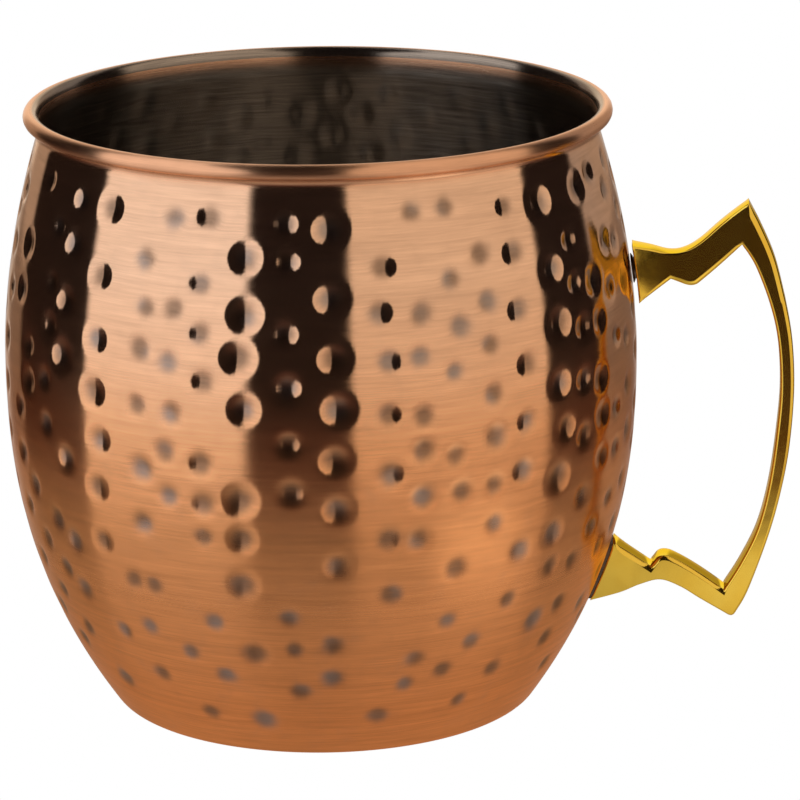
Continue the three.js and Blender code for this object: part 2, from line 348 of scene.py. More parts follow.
# %% [markdown]
# ## The barrel
#
# The real mug is one sheet, drawn into a barrel, hammered from outside, and rolled outwards at
# the rim. Its outline is two power curves that meet at the belly, and the bead is an arc. The
# outline is spun into a closed shell first. The hammer marks come after, as real geometry,
# because a mark has to bend the edges of the reflections that cross it.

# %% Read the driving sizes from the frame
_, body_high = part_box("mug_body")
BELLY_RADIUS = body_high.x
RIM_TOP = body_high.z
BELLY_HEIGHT = 115 * MM
BASE_RADIUS = 68.6 * MM
NECK_RADIUS = 89.9 * MM
NECK_HEIGHT = 189 * MM
LOWER_POWER = 2.41
UPPER_POWER = 1.84
WALL = 1.0 * MM
FLOOR = 1.4 * MM
BASE_CORNER = 3.2 * MM
BEAD_RADIUS = 2.45 * MM
BEAD_CENTRE = Vector((91.9 * MM, 0, RIM_TOP - BEAD_RADIUS))
print("barrel", round(BELLY_RADIUS / MM, 1), "mm in radius,", round(RIM_TOP / MM, 1), "mm tall")


# %% Describe the wall as a curve
def wall_radius(z):
    """Outside radius of the smooth barrel at height z. Works on numbers and on arrays."""
    below = np.clip((BELLY_HEIGHT - z) / BELLY_HEIGHT, 0, None)
    above = np.clip((z - BELLY_HEIGHT) / (NECK_HEIGHT - BELLY_HEIGHT), 0, None)
    narrower = (BELLY_RADIUS - BASE_RADIUS) * below ** LOWER_POWER
    narrower = narrower + (BELLY_RADIUS - NECK_RADIUS) * above ** UPPER_POWER
    return BELLY_RADIUS - narrower


def wall_slope(z):
    """How fast the radius grows with height."""
    step = 0.01 * MM
    return (wall_radius(z + step) - wall_radius(z - step)) / (2 * step)


def quadratic(start, control, end, steps):
    """Points along a quadratic curve, without its first one."""
    t = np.arange(1, steps + 1)[:, None] / steps
    start, control, end = (np.array(p, float) for p in (start, control, end))
    return (1 - t) ** 2 * start + 2 * t * (1 - t) * control + t ** 2 * end


# %% Lay out the outline of the shell
RING_STEP = 1.36 * MM
INNER_STEP = 2.6 * MM
DEEP_STEP = 5.0 * MM
DEEP_HEIGHT = 108 * MM
BEAD_STEPS = 16


def barrel_outline():
    """(radius, height) from the centre of the base, up the outside, over the bead and back."""
    corner_top = 0.8 * BASE_CORNER
    rings = [(0, 0), (0.3 * BASE_RADIUS, 0), (0.6 * BASE_RADIUS, 0), (0.85 * BASE_RADIUS, 0)]
    rings.append((BASE_RADIUS - BASE_CORNER, 0))
    rings += list(quadratic((BASE_RADIUS - BASE_CORNER, 0), (BASE_RADIUS, 0),
                            (wall_radius(corner_top), corner_top), 6))
    count = round((NECK_HEIGHT - corner_top) / RING_STEP)
    heights = np.linspace(corner_top, NECK_HEIGHT, count + 1)[1:]
    rings += [(wall_radius(z), z) for z in heights]
    for angle in np.radians(np.linspace(-135, 180, BEAD_STEPS + 1)):
        rings.append((BEAD_CENTRE.x + BEAD_RADIUS * math.cos(angle),
                      BEAD_CENTRE.z + BEAD_RADIUS * math.sin(angle)))
    floor_edge = FLOOR + BASE_CORNER
    seen = np.linspace(NECK_HEIGHT, DEEP_HEIGHT, round((NECK_HEIGHT - DEEP_HEIGHT) / INNER_STEP))
    deep = np.linspace(DEEP_HEIGHT, floor_edge, round((DEEP_HEIGHT - floor_edge) / DEEP_STEP))
    for z in [*seen, *deep[1:]]:
        rings.append((wall_radius(z) - WALL * math.hypot(1, wall_slope(z)), z))
    edge = rings[-1][0]
    rings += list(quadratic((edge, floor_edge), (edge - 0.6 * BASE_CORNER, FLOOR),
                            (edge - 1.8 * BASE_CORNER, FLOOR), 5))
    rings += [(0.6 * edge, FLOOR), (0.3 * edge, FLOOR), (0, FLOOR)]
    return rings


outline = barrel_outline()
print("outline points:", len(outline))

# %% Spin the outline into a shell
AROUND = 440


def chain(bm, points):
    """One vertex, extruded from point to point into a chain of edges."""
    vertex = bm.verts.new(points[0])
    vertices = [vertex]
    for point in points[1:]:
        made = bmesh.ops.extrude_vert_indiv(bm, verts=[vertex])
        vertex = made["verts"][0]
        vertex.co = point
        vertices.append(vertex)
    return vertices


def link_piece(bm, name, materials):
    """Writes a bmesh to a new smooth-shaded object at the origin."""
    mesh = bpy.data.meshes.new(name)
    bm.to_mesh(mesh)
    bm.free()
    mesh.polygons.foreach_set("use_smooth", [True] * len(mesh.polygons))
    for material in materials:
        mesh.materials.append(material)
    piece = bpy.data.objects.new(name, mesh)
    bpy.context.scene.collection.objects.link(piece)
    return piece


def spin_shell(points):
    """A closed shell of revolution round the Z axis."""
    bm = bmesh.new()
    chain(bm, [Vector((radius, 0, height)) for radius, height in points])
    bmesh.ops.spin(bm, geom=bm.verts[:] + bm.edges[:], axis=(0, 0, 1), cent=(0, 0, 0),
                   dvec=(0, 0, 0), angle=2 * math.pi, steps=AROUND, use_merge=True)
    bmesh.ops.remove_doubles(bm, verts=bm.verts, dist=1e-6)
    bmesh.ops.recalc_face_normals(bm, faces=bm.faces)
    return bm


shell = link_piece(spin_shell(outline), "hammered_shell", [])
print("shell:", len(shell.data.vertices), "vertices,", len(shell.data.polygons), "faces")

# %% [markdown]
# ### Hammer marks
#
# The marks are struck column by column, and by hand, so every mark is a little off its place and
# no two are the same size. The columns at the front are listed one by one. Behind, each column
# starts half a step below its neighbour. A ball-faced hammer leaves a round hollow with soft
# shoulders, which half a cosine wave describes well. The marks get shallower towards the base.

# %% Lay out the marks
FRONT_COLUMNS = {        # degrees round from the camera's side: heights of the marks, in mm
    -70: (160, 146, 108, 92, 74, 56, 40),
    -64.5: (181, 131, 118, 84, 66, 48, 30),
    -58: (168, 152, 138, 121, 107, 76, 58, 37),
    -52.5: (180, 167, 147, 131, 98, 70, 53, 20),
    -43.5: (179, 158, 140, 123, 108, 91, 73, 42),
    -37: (62, 46, 28),
    -33: (165.5, 152.5, 138, 120, 101, 82, 62),
    -27.5: (178, 152, 136, 120, 108, 94, 38, 16),
    -21.5: (180, 160, 146, 131, 105, 92, 80, 52, 31),
    -14: (168, 152, 138, 121.5, 95, 81, 67, 41, 16),
    -6: (180, 167.5, 147, 130.5, 111, 97, 55, 43, 27),
    2: (178.5, 157, 139.5, 123, 107, 91, 73, 45, 31),
    11.5: (165, 152, 138, 120, 101, 82, 61, 16),
    17.5: (181, 151, 137, 120, 108, 94, 80, 38, 27),
    24: (182, 161, 146, 132, 105, 93, 67, 51, 31),
    31: (167, 152, 139, 123, 110, 96, 81, 41, 16),
    38: (180, 166, 147, 131, 113, 98, 70, 54, 28),
    46.5: (179, 157, 140, 122, 107, 91, 72, 61, 43),
    53.5: (165, 152, 138, 121, 101, 82, 60, 46, 32),
    59.5: (180, 151, 136, 119, 107, 93, 70, 20),
    66: (181, 160, 146, 130, 105, 93, 76, 58, 40),
}
BROAD_COLUMNS = (-52.5, -14, 2, 46.5)
BACK_START = 73.0
BACK_END = 283.0
BACK_STEP = 6.9
MARK_PITCH = 15.6 * MM
TOP_MARK = 181 * MM
LOWEST_MARK = 15 * MM
FRONT_RADIUS = 5.6
BROAD_RADIUS = 6.6
BACK_RADII = [5.0, 5.4, 6.2]
FRONT_JITTER = 0.6
BACK_JITTER = 1.0
SIZE_SPREAD = (0.88, 1.10)      # smallest and largest share of a column's own mark radius
LOW_MARKS = 85 * MM             # marks below this height are a little smaller
LOW_SHARE = 0.97
FIRM_HEIGHTS = [0, 0.07, 0.11]  # heights in metres, and how deep a mark is there for its radius
FIRMNESS = [0.09, 0.13, 0.185]
TURN_SCATTER = math.radians(0.9)
HEIGHT_SCATTER = 1.2
rng = np.random.default_rng(7)


def column_of_marks(angle, heights, radius, jitter):
    """Marks (angle, height, radius, depth) of one column, struck a little off their places."""
    made = []
    for height in heights:
        size = radius * rng.uniform(*SIZE_SPREAD)
        if height < LOW_MARKS:
            size *= LOW_SHARE
        firmness = np.interp(height, FIRM_HEIGHTS, FIRMNESS)
        made.append((angle + jitter * rng.normal(0, TURN_SCATTER),
                     height + jitter * rng.normal(0, HEIGHT_SCATTER) * MM, size, firmness * size))
    return made


def place_marks():
    """Every hammer mark: the front columns from the list, the others by rule and chance."""
    camera_angle = math.atan2(toward_camera.y, toward_camera.x)
    marks = []
    for degrees, heights in FRONT_COLUMNS.items():
        radius = (BROAD_RADIUS if degrees in BROAD_COLUMNS else FRONT_RADIUS) * MM
        place = [height * MM for height in heights]
        angle = camera_angle + math.radians(degrees)
        marks += column_of_marks(angle, place, radius, FRONT_JITTER)
    odd = False
    for degrees in np.arange(BACK_START, BACK_END, BACK_STEP):
        odd = not odd
        count = int((TOP_MARK - LOWEST_MARK) / MARK_PITCH)
        place = [TOP_MARK - (row + 0.5 * odd) * MARK_PITCH for row in range(count)]
        radius = rng.choice(BACK_RADII) * MM
        angle = camera_angle + math.radians(degrees)
        marks += column_of_marks(angle, place, radius, BACK_JITTER)
    return np.array(marks)


marks = place_marks()
print("hammer marks:", len(marks))


# %% Strike the marks
LINING_SHARE = 0.6      # how much of a mark's depth comes through to the inside


def press_marks(piece):
    """Pushes the wall in at every mark and keeps how deep each point went as an attribute."""
    mesh = piece.data
    points = np.zeros(len(mesh.vertices) * 3)
    mesh.vertices.foreach_get("co", points)
    points = points.reshape(-1, 3)
    radius = np.hypot(points[:, 0], points[:, 1])
    angle = np.arctan2(points[:, 1], points[:, 0])
    height = points[:, 2]
    on_wall = (height > 2 * FLOOR) & (height <= NECK_HEIGHT + 0.5 * MM)
    on_wall &= radius > wall_radius(height) - 2.5 * WALL
    pressed = np.zeros(len(points))
    share = np.zeros(len(points))
    for mark_angle, mark_height, mark_radius, depth in marks:
        near = on_wall & (np.abs(height - mark_height) < mark_radius)
        rows = np.nonzero(near)[0]
        turn = np.angle(np.exp(1j * (angle[rows] - mark_angle)))
        across = turn * wall_radius(mark_height)
        along = (height[rows] - mark_height) * math.hypot(1, wall_slope(mark_height))
        distance = np.hypot(across, along)
        rows, distance = rows[distance < mark_radius], distance[distance < mark_radius]
        hollow = 0.5 + 0.5 * np.cos(math.pi * distance / mark_radius)
        pressed[rows] += depth * hollow
        share[rows] = np.maximum(share[rows], hollow)
    slope = wall_slope(height)
    lean = np.hypot(1, slope)
    lined = radius < wall_radius(height) - 0.5 * WALL
    inward = np.where(lined, LINING_SHARE, 1.0) * pressed / lean
    points[:, 0] -= inward * np.cos(angle)
    points[:, 1] -= inward * np.sin(angle)
    points[:, 2] += inward * slope
    mesh.vertices.foreach_set("co", points.ravel())
    kept = mesh.attributes.new("mark", "FLOAT", "POINT")
    kept.data.foreach_set("value", share.astype(np.float32))
    mesh.update()
    return pressed.max()


print("deepest mark:", round(press_marks(shell) / MM, 2), "mm")

# %% [markdown]
# ## Metal finishes
#
# The plating was brushed round the barrel after hammering, so every finish on the shell shares
# one effect: fine scratches that run round the axis. It is made once, as a node group. The
# scratches come from a noise that is stretched along the circle and squeezed across it.

# %% The brushing group
def make_brushing():
    group = bpy.data.node_groups.new("brushed_round_axis", "ShaderNodeTree")
    group.interface.new_socket("Length", in_out="INPUT", socket_type="NodeSocketFloat")
    group.interface.new_socket("Fineness", in_out="INPUT", socket_type="NodeSocketFloat")
    group.interface.new_socket("Scratches", in_out="OUTPUT", socket_type="NodeSocketFloat")
    inside = add_node(group, "NodeGroupInput")
    place = add_node(group, "ShaderNodeTexCoord").outputs["Object"]
    parts = add_node(group, "ShaderNodeSeparateXYZ", {0: place})
    flat = add_node(group, "ShaderNodeCombineXYZ", {0: parts.outputs[0], 1: parts.outputs[1]})
    radius = add_node(group, "ShaderNodeVectorMath", {0: flat.outputs[0]}, operation="LENGTH")
    round_way = add_node(group, "ShaderNodeVectorMath", {0: flat.outputs[0]}, operation="NORMALIZE")
    stretched = add_node(group, "ShaderNodeVectorMath",
                         {0: round_way.outputs[0]}, operation="SCALE")
    group.links.new(inside.outputs["Length"], stretched.inputs["Scale"])
    across = add_math(group, "ADD", parts.outputs[2], radius.outputs["Value"])
    across = add_math(group, "MULTIPLY", across, inside.outputs["Fineness"])
    ends = add_node(group, "ShaderNodeSeparateXYZ", {0: stretched.outputs[0]})
    where = add_node(group, "ShaderNodeCombineXYZ",
                     {0: ends.outputs[0], 1: ends.outputs[1], 2: across})
    noise = add_node(group, "ShaderNodeTexNoise",
                     {"Vector": where.outputs[0], "Scale": 1.0, "Detail": 3.0, "Roughness": 0.6})
    out = add_node(group, "NodeGroupOutput")
    group.links.new(noise.outputs["Fac"], out.inputs["Scratches"])
    return group


brushing = make_brushing()


def add_group(tree, group, inputs):
    node = add_node(tree, "ShaderNodeGroup")
    node.node_tree = group
    for name, value in inputs.items():
        node.inputs[name].default_value = value
    return node


def new_metal(name, roughness, anisotropy):
    """A material with a metallic Principled shader, returned with its tree and shader."""
    material = bpy.data.materials.new(name)
    material.use_nodes = True
    tree = material.node_tree
    tree.nodes.clear()
    shader = add_node(tree, "ShaderNodeBsdfPrincipled",
                      {"Metallic": 1.0, "Roughness": roughness, "Anisotropic": anisotropy})
    add_node(tree, "ShaderNodeOutputMaterial", {"Surface": shader.outputs[0]})
    return material, tree, shader


# %% [markdown]
# ### The plating
#
# Outside, antique copper: bright on the high metal, with a grey-brown patina left in the marks where
# the polishing wheel didn't reach, and rougher towards the base. Its colour by height carries painted
# light: paler towards the top, where the bright boxes are mirrored, and deeper, warmer and darker
# towards the base and on the bead. Inside and over the inner side of the bead, a dark nickel, darker
# still on the bead's top, where that darkening is painted shade. The brushing blurs reflections up and
# down and leaves their upright edges crisp, so the shader's blur is turned a quarter turn.

# %% Plate the shell
# copper with painted light by height: paler towards the top where the bright boxes are mirrored, darker
# at the base and on the bead
COPPER_AND_PAINTED_LIGHT = [              # the colour by height, as a share of the mug's height
    (0.08, (0.88, 0.320, 0.110)),
    (0.25, (0.88, 0.360, 0.140)),
    (0.41, (0.88, 0.395, 0.165)),
    (0.56, (0.88, 0.440, 0.215)),
    (0.68, (0.87, 0.500, 0.300)),
    (0.82, (0.87, 0.550, 0.365)),
    (0.955, (0.87, 0.550, 0.365)),
    (0.970, (0.87, 0.475, 0.285)),
]
EDGE_TINT = (1.0, 0.80, 0.62, 1.0)
PATINA_DEPTH = (0.22, 1.28)     # how deep in a mark the patina starts and is full
PATINA_SHARE = 0.86
PATINA = (0.20, 0.125, 0.085)
PATINA_BLUE = (0.25, 0.220, 0.210)
NICKEL = (0.70, 0.640, 0.575)
# darker nickel on the bead's top: painted shade that dims the reflection there
BEAD_NICKEL_PAINTED_SHADE = (0.36, 0.305, 0.260)
TOP_ROUGHNESS = 0.11
LOW_ROUGHNESS = 0.34
LINING_ROUGHNESS = 0.22
BEAD_ROUGHER = 0.18            # what the bead's roughness gains, and where that starts
BEAD_START = (0.1905, 0.1915)
BRUSHING = 0.95
BRUSHED_ACROSS = 0.25          # a quarter turn: the blur runs up and down
FINE_BRUSHING = {"Length": 5.0, "Fineness": 2300.0}
BROAD_BRUSHING = {"Length": 2.5, "Fineness": 420.0}
STAIN_SPLIT = (0.42, 0.62)     # noise values between which the patina turns from brown to blue
CLOUD_SCALE = 150.0            # the noise that breaks up the patina's edge, and its share
CLOUD_SHARE = 0.6
TONE_SCALE = 55.0
BEAD_SIDE = (0.1 * MM, -0.9 * MM)    # from the bead's centre line, where copper gives way inwards
BEAD_DROP = 0.5 * MM           # how far below the bead's centre that starts
PATINA_ROUGHER = 0.08
SCRATCH_ROUGHER = 0.08
SCRATCH_BUMP = {"Strength": 0.12, "Distance": 0.0002}
ROUGH_HEIGHTS = (0.15, 0.62)   # shares of the height between which the surface gets smoother


def make_plating():
    material, tree, shader = new_metal("mug_plating", TOP_ROUGHNESS, BRUSHING)
    shader.inputs["Anisotropic Rotation"].default_value = BRUSHED_ACROSS
    shader.inputs["Specular Tint"].default_value = EDGE_TINT
    tangent = add_node(tree, "ShaderNodeTangent", direction_type="RADIAL", axis="Z")
    tree.links.new(tangent.outputs[0], shader.inputs["Tangent"])
    place = add_node(tree, "ShaderNodeTexCoord").outputs["Object"]
    parts = add_node(tree, "ShaderNodeSeparateXYZ", {0: place})
    height = add_range(tree, parts.outputs[2], (0.0, RIM_TOP))
    scratches = add_group(tree, brushing, FINE_BRUSHING).outputs[0]
    mark = add_node(tree, "ShaderNodeAttribute", attribute_name="mark").outputs["Fac"]
    cloud = add_node(tree, "ShaderNodeTexNoise", {"Vector": place, "Scale": CLOUD_SCALE, "Detail": 4.0})
    tone = add_node(tree, "ShaderNodeTexNoise", {"Vector": place, "Scale": TONE_SCALE, "Detail": 1.0})
    # the copper's colour by height, with painted light: paler at the top, darker at the base
    copper = add_ramp(tree, height, COPPER_AND_PAINTED_LIGHT)
    stain = add_mix(tree, add_step(tree, tone.outputs["Fac"], STAIN_SPLIT), PATINA, PATINA_BLUE)
    cloud = add_math(tree, "MULTIPLY", cloud.outputs["Fac"], CLOUD_SHARE)
    deep = add_math(tree, "ADD", mark, cloud)
    patina = add_math(tree, "MULTIPLY", add_step(tree, deep, PATINA_DEPTH), PATINA_SHARE)
    streaks = add_range(tree, scratches, (0.3, 0.7), (0.82, 1.06))
    patina = add_math(tree, "MULTIPLY", patina, streaks, clamp=True)
    band = add_group(tree, brushing, BROAD_BRUSHING).outputs[0]
    worn = add_range(tree, add_math(tree, "ADD", band, scratches), (0.7, 1.3), (0.84, 1.08))
    worn = add_node(tree, "ShaderNodeCombineColor", {0: worn, 1: worn, 2: worn})
    copper = add_mix(tree, 1.0, copper, worn.outputs[0], "MULTIPLY")
    outside = add_mix(tree, patina, copper, stain)

    flat = add_node(tree, "ShaderNodeCombineXYZ", {0: parts.outputs[0], 1: parts.outputs[1]})
    radius = add_node(tree, "ShaderNodeVectorMath", {0: flat.outputs[0]}, operation="LENGTH")
    side = [BEAD_CENTRE.x + step for step in BEAD_SIDE]
    inside_bead = add_range(tree, radius.outputs["Value"], side)
    on_bead = add_math(tree, "GREATER_THAN", parts.outputs[2], BEAD_CENTRE.z - BEAD_DROP)
    lining = add_node(tree, "ShaderNodeAttribute", attribute_name="lining").outputs["Fac"]
    bead_inside = add_math(tree, "MULTIPLY", inside_bead, on_bead)
    inner = add_math(tree, "MAXIMUM", lining, bead_inside)
    # above the bead's start the nickel turns darker: painted shade on the bead
    nickel = add_mix(tree, add_step(tree, parts.outputs[2], BEAD_START), NICKEL, BEAD_NICKEL_PAINTED_SHADE)
    scored = add_range(tree, scratches, (0.32, 0.68), (0.72, 1.12))
    scored = add_node(tree, "ShaderNodeCombineColor", {0: scored, 1: scored, 2: scored})
    nickel = add_mix(tree, 1.0, nickel, scored.outputs[0], "MULTIPLY")
    tree.links.new(add_mix(tree, inner, outside, nickel), shader.inputs["Base Color"])

    rough = add_range(tree, height, ROUGH_HEIGHTS, (LOW_ROUGHNESS, TOP_ROUGHNESS))
    rough = add_math(tree, "ADD", rough, add_math(tree, "MULTIPLY", patina, PATINA_ROUGHER))
    rolled = add_step(tree, parts.outputs[2], BEAD_START)
    rough = add_math(tree, "ADD", rough, add_math(tree, "MULTIPLY", rolled, BEAD_ROUGHER))
    lined = add_node(tree, "ShaderNodeMix", data_type="FLOAT")
    tree.links.new(inner, lined.inputs["Factor"])
    tree.links.new(rough, lined.inputs["A"])
    lined.inputs["B"].default_value = LINING_ROUGHNESS
    streak = add_math(tree, "SUBTRACT", scratches, 0.5)
    streak = add_math(tree, "MULTIPLY", streak, SCRATCH_ROUGHER)
    rough = add_math(tree, "ADD", lined.outputs["Result"], streak, clamp=True)
    tree.links.new(rough, shader.inputs["Roughness"])
    bump = add_node(tree, "ShaderNodeBump", {"Height": scratches, **SCRATCH_BUMP})
    tree.links.new(bump.outputs[0], shader.inputs["Normal"])
    return material


def mark_lining(piece):
    """Flags the inner wall and the floor of the shell, which carry the nickel."""
    mesh = piece.data
    points = np.zeros(len(mesh.vertices) * 3)
    mesh.vertices.foreach_get("co", points)
    points = points.reshape(-1, 3)
    normals = np.zeros(len(mesh.vertices) * 3)
    mesh.vertices.foreach_get("normal", normals)
    normals = normals.reshape(-1, 3)
    outward = points[:, 0] * normals[:, 0] + points[:, 1] * normals[:, 1]
    low = points[:, 2] < 2 * FLOOR
    inner = np.where(low, normals[:, 2] > 0.5, outward < 0) & (points[:, 2] < BEAD_CENTRE.z)
    kept = mesh.attributes.new("lining", "FLOAT", "POINT")
    kept.data.foreach_set("value", inner.astype(np.float32))
    return int(inner.sum())


print("lined points:", mark_lining(shell))
shell.data.materials.append(make_plating())
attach(shell, "root")
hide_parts("mug_body")

# %% [markdown]
# ## The handle
#
# The handle is one casting in yellow brass, thin at the top and flared at the feet. Its edges
# were rounded by filing, more on the bow that the hand holds than on the upper arm. The outline
# is drawn once. Each side is built from it by extruding its edge ring by ring, and each ring is
# drawn inwards along the outline's own corners, so that the width of the rounding can change
# from place to place, which the bevel tool can't do.

# %% Set the sizes of the casting
UPPER_GAP = 1.5             # millimetres, like everything in the drawing of the handle
LOWER_GAP = 0.9
LOWER_FOOT_THICKNESS = 11.2
UPPER_FOOT_THICKNESS = 10.2
LOWER_ARM_THICKNESS = 10.0
UPPER_ARM_THICKNESS = 7.8
TAPER = (45.0, 150.0)       # heights between which the casting gets thinner
FLARE = (-3.0, 13.0)        # distances from the wall between which the feet flare
UPPER_FOOT = (132.0, 150.8)
LOWER_FOOT = (31.4, 51.3)


def foot_point(z, gap):
    """A point on the face of a foot."""
    slope = wall_slope(z * MM)
    return (wall_radius(z * MM) / MM + gap * math.hypot(1, slope), z)


def along_wall(start, end, gap, steps):
    """Points down or up the face of a foot, without the first one."""
    return np.array([foot_point(z, gap) for z in np.linspace(start, end, steps + 1)[1:]])


def through(points, steps):
    """A smooth curve through points (Catmull-Rom), without its first one."""
    points = np.array(points, float)
    padded = np.vstack([points[0], points, points[-1]])
    made = []
    for p0, p1, p2, p3 in zip(padded, padded[1:], padded[2:], padded[3:]):
        for t in np.arange(1, steps + 1) / steps:
            v0, v1 = (p2 - p0) / 2, (p3 - p1) / 2
            made.append((2 * p1 - 2 * p2 + v0 + v1) * t ** 3
                        + (-3 * p1 + 3 * p2 - 2 * v0 - v1) * t ** 2 + v0 * t + p1)
    return np.array(made)


def straight(start, end, steps):
    t = np.arange(1, steps + 1)[:, None] / steps
    return np.array(start, float) * (1 - t) + np.array(end, float) * t


PEAK = (138.0, 165.0)
TAIL = (134.4, 25.8)
TAIL_OUTER = (135.4, 27.6)
TAIL_INNER = (132.6, 26.9)
UPPER_CORNER = (136.0, 151.2)
LOWER_CORNER = (131.3, 35.3)
UPPER_NOTCH = (113.3, 139.7)
LOWER_NOTCH = (107.3, 43.1)
UPPER_STEP = (116.4, 138.5)  # the small steps on the inner side, between each notch and its arm
UPPER_HUMP = (122.6, 138.7)
LOWER_STEP = (108.9, 45.2)
LOWER_HUMP = (113.8, 46.4)
UPPER_ARM_TOP = [(106.6, 149.8), (112.8, 148.4), (117.6, 149.1), (122.6, 152.1), (128.9, 157.8),
                 (134.0, 162.0)]
OUTER_TOP = [(141.6, 158.4), (146.6, 146.7)]
OUTER_BOW = [(150.2, 132.9), (152.6, 119.5), (153.4, 103.0), (152.2, 84.5), (149.7, 69.3),
             (145.8, 53.9), (139.4, 35.3)]
LOWER_ARM_BOTTOM = [(130.3, 28.3), (123.7, 32.2), (117.1, 36.3), (110.6, 38.6), (104.0, 36.9),
                    (97.5, 34.1)]
INNER_BOW = [(136.8, 44.6), (142.2, 56.6), (145.8, 72.1), (148.1, 90.9), (148.9, 105.0),
             (147.9, 119.7), (145.2, 131.6), (140.4, 144.2)]


CORNER_ROUNDING = 0.12       # rounding at a sharp corner, and how fast it grows away from one
CORNER_GROWTH = 0.45


def handle_outline():
    """The outline in millimetres, and how many millimetres its edge is rounded at each point."""
    upper_top, upper_bottom = (foot_point(z, UPPER_GAP) for z in UPPER_FOOT[::-1])
    lower_bottom, lower_top = (foot_point(z, LOWER_GAP) for z in LOWER_FOOT)
    runs = [    # each run of the outline, and the rounding at its start and at its end
        (through([upper_top, *UPPER_ARM_TOP, PEAK], 8), 0.5, 0.7),
        (through([PEAK, *OUTER_TOP, OUTER_BOW[0]], 10), 2.1, 1.6),
        (through([*OUTER_BOW, TAIL_OUTER], 10), 1.3, 0.7),
        (quadratic(TAIL_OUTER, TAIL, TAIL_INNER, 6), 0.6, 0.5),
        (through([TAIL_INNER, *LOWER_ARM_BOTTOM, lower_bottom], 8), 0.5, 0.4),
        (along_wall(*LOWER_FOOT, LOWER_GAP, 10), 0.4, 0.6),
        (straight(lower_top, LOWER_NOTCH, 6), 1.7, 1.6),
        (straight(LOWER_NOTCH, LOWER_STEP, 2), 1.5, 1.5),
        (quadratic(LOWER_STEP, (110.3, 47.4), LOWER_HUMP, 8), 1.4, 1.4),
        (quadratic(LOWER_HUMP, (120.4, 43.6), LOWER_CORNER, 10), 1.4, 1.3),
        (through([LOWER_CORNER, *INNER_BOW, UPPER_CORNER], 9), 0.9, 0.9),
        (quadratic(UPPER_CORNER, (129.0, 144.2), UPPER_HUMP, 12), 1.3, 1.7),
        (quadratic(UPPER_HUMP, (120.4, 136.6), UPPER_STEP, 8), 1.7, 1.6),
        (straight(UPPER_STEP, UPPER_NOTCH, 2), 1.5, 1.4),
        (straight(UPPER_NOTCH, upper_bottom, 6), 1.3, 0.9),
        (along_wall(*UPPER_FOOT, UPPER_GAP, 10), 0.6, 0.5),
    ]
    points, rounding = [], []
    for run, start, end in runs:
        points += [tuple(p) for p in run]
        rounding += list(np.linspace(start, end, len(run)))
    points = np.array(points)
    corners = np.array([PEAK, upper_top, upper_bottom, lower_bottom, lower_top])
    away = np.linalg.norm(points[:, None] - corners[None], axis=2).min(axis=1)
    return points, np.minimum(rounding, CORNER_ROUNDING + CORNER_GROWTH * away)


def half_thickness(points):
    """Half the thickness of the casting at each point: thin at the top, flared at the feet."""
    x, z = points.T
    up = np.clip((z - TAPER[0]) / (TAPER[1] - TAPER[0]), 0, 1)
    up = up * up * (3 - 2 * up)
    arm = np.interp(up, [0, 1], [LOWER_ARM_THICKNESS, UPPER_ARM_THICKNESS])
    foot = np.interp(up, [0, 1], [LOWER_FOOT_THICKNESS, UPPER_FOOT_THICKNESS])
    out = np.clip((x - wall_radius(z * MM) / MM - FLARE[0]) / (FLARE[1] - FLARE[0]), 0, 1)
    out = out * out * (3 - 2 * out)
    return (foot * (1 - out) + arm * out) / 2


casting_outline, rounding = handle_outline()
print("handle outline points:", len(casting_outline))


# %% Build the casting
ROUND_STEPS = 4
SHARPEST = 0.35     # limits how far a sharp corner is drawn in


def inward_steps(points):
    """For each outline point, the step that draws both its edges in by one millimetre."""
    before = points - np.roll(points, 1, axis=0)
    after = np.roll(points, -1, axis=0) - points
    before /= np.linalg.norm(before, axis=1)[:, None]
    after /= np.linalg.norm(after, axis=1)[:, None]
    square_before = np.stack([before[:, 1], -before[:, 0]], 1)
    square_after = np.stack([after[:, 1], -after[:, 0]], 1)
    middle = square_before + square_after
    middle /= np.linalg.norm(middle, axis=1)[:, None]
    share = np.clip((middle * square_before).sum(1), SHARPEST, 1)
    return middle / share[:, None]


def extrude_ring(bm, ring, points, depths):
    """Extrudes a closed ring of edges and moves it to new points. Returns the new ring."""
    edges = [bm.edges.get((a, b)) for a, b in zip(ring, ring[1:] + ring[:1])]
    made = bmesh.ops.extrude_edge_only(bm, edges=edges)["geom"]
    fresh = [g for g in made if isinstance(g, bmesh.types.BMVert)]
    old_place = {tuple(round(c, 9) for c in v.co): v for v in fresh}
    ordered = [old_place[tuple(round(c, 9) for c in v.co)] for v in ring]
    for vertex, (x, z), depth in zip(ordered, points, depths):
        vertex.co = (x * MM, -depth * MM, z * MM)
    return ordered


def build_handle():
    points, inward = casting_outline, inward_steps(casting_outline)
    half_here = half_thickness(points)
    bm = bmesh.new()
    ring = chain(bm, [Vector((x * MM, 0, z * MM)) for x, z in points])
    bm.edges.new((ring[-1], ring[0]))
    ring = extrude_ring(bm, ring, points, half_here - rounding)
    for step in range(1, ROUND_STEPS + 1):
        angle = math.pi / 2 * step / ROUND_STEPS
        drawn_in = points + inward * (rounding * (1 - math.cos(angle)))[:, None]
        ring = extrude_ring(bm, ring, drawn_in, half_here - rounding * (1 - math.sin(angle)))
    rim = [bm.edges.get((a, b)) for a, b in zip(ring, ring[1:] + ring[:1])]
    for edge in rim:
        edge.smooth = False
    cap = bmesh.ops.contextual_create(bm, geom=rim)["faces"]
    bmesh.ops.triangulate(bm, faces=cap)
    whole = bm.verts[:] + bm.edges[:] + bm.faces[:]
    bmesh.ops.mirror(bm, geom=whole, axis="Y", merge_dist=1e-6)
    bmesh.ops.remove_doubles(bm, verts=bm.verts, dist=1e-6)
    bmesh.ops.recalc_face_normals(bm, faces=bm.faces)
    return bm


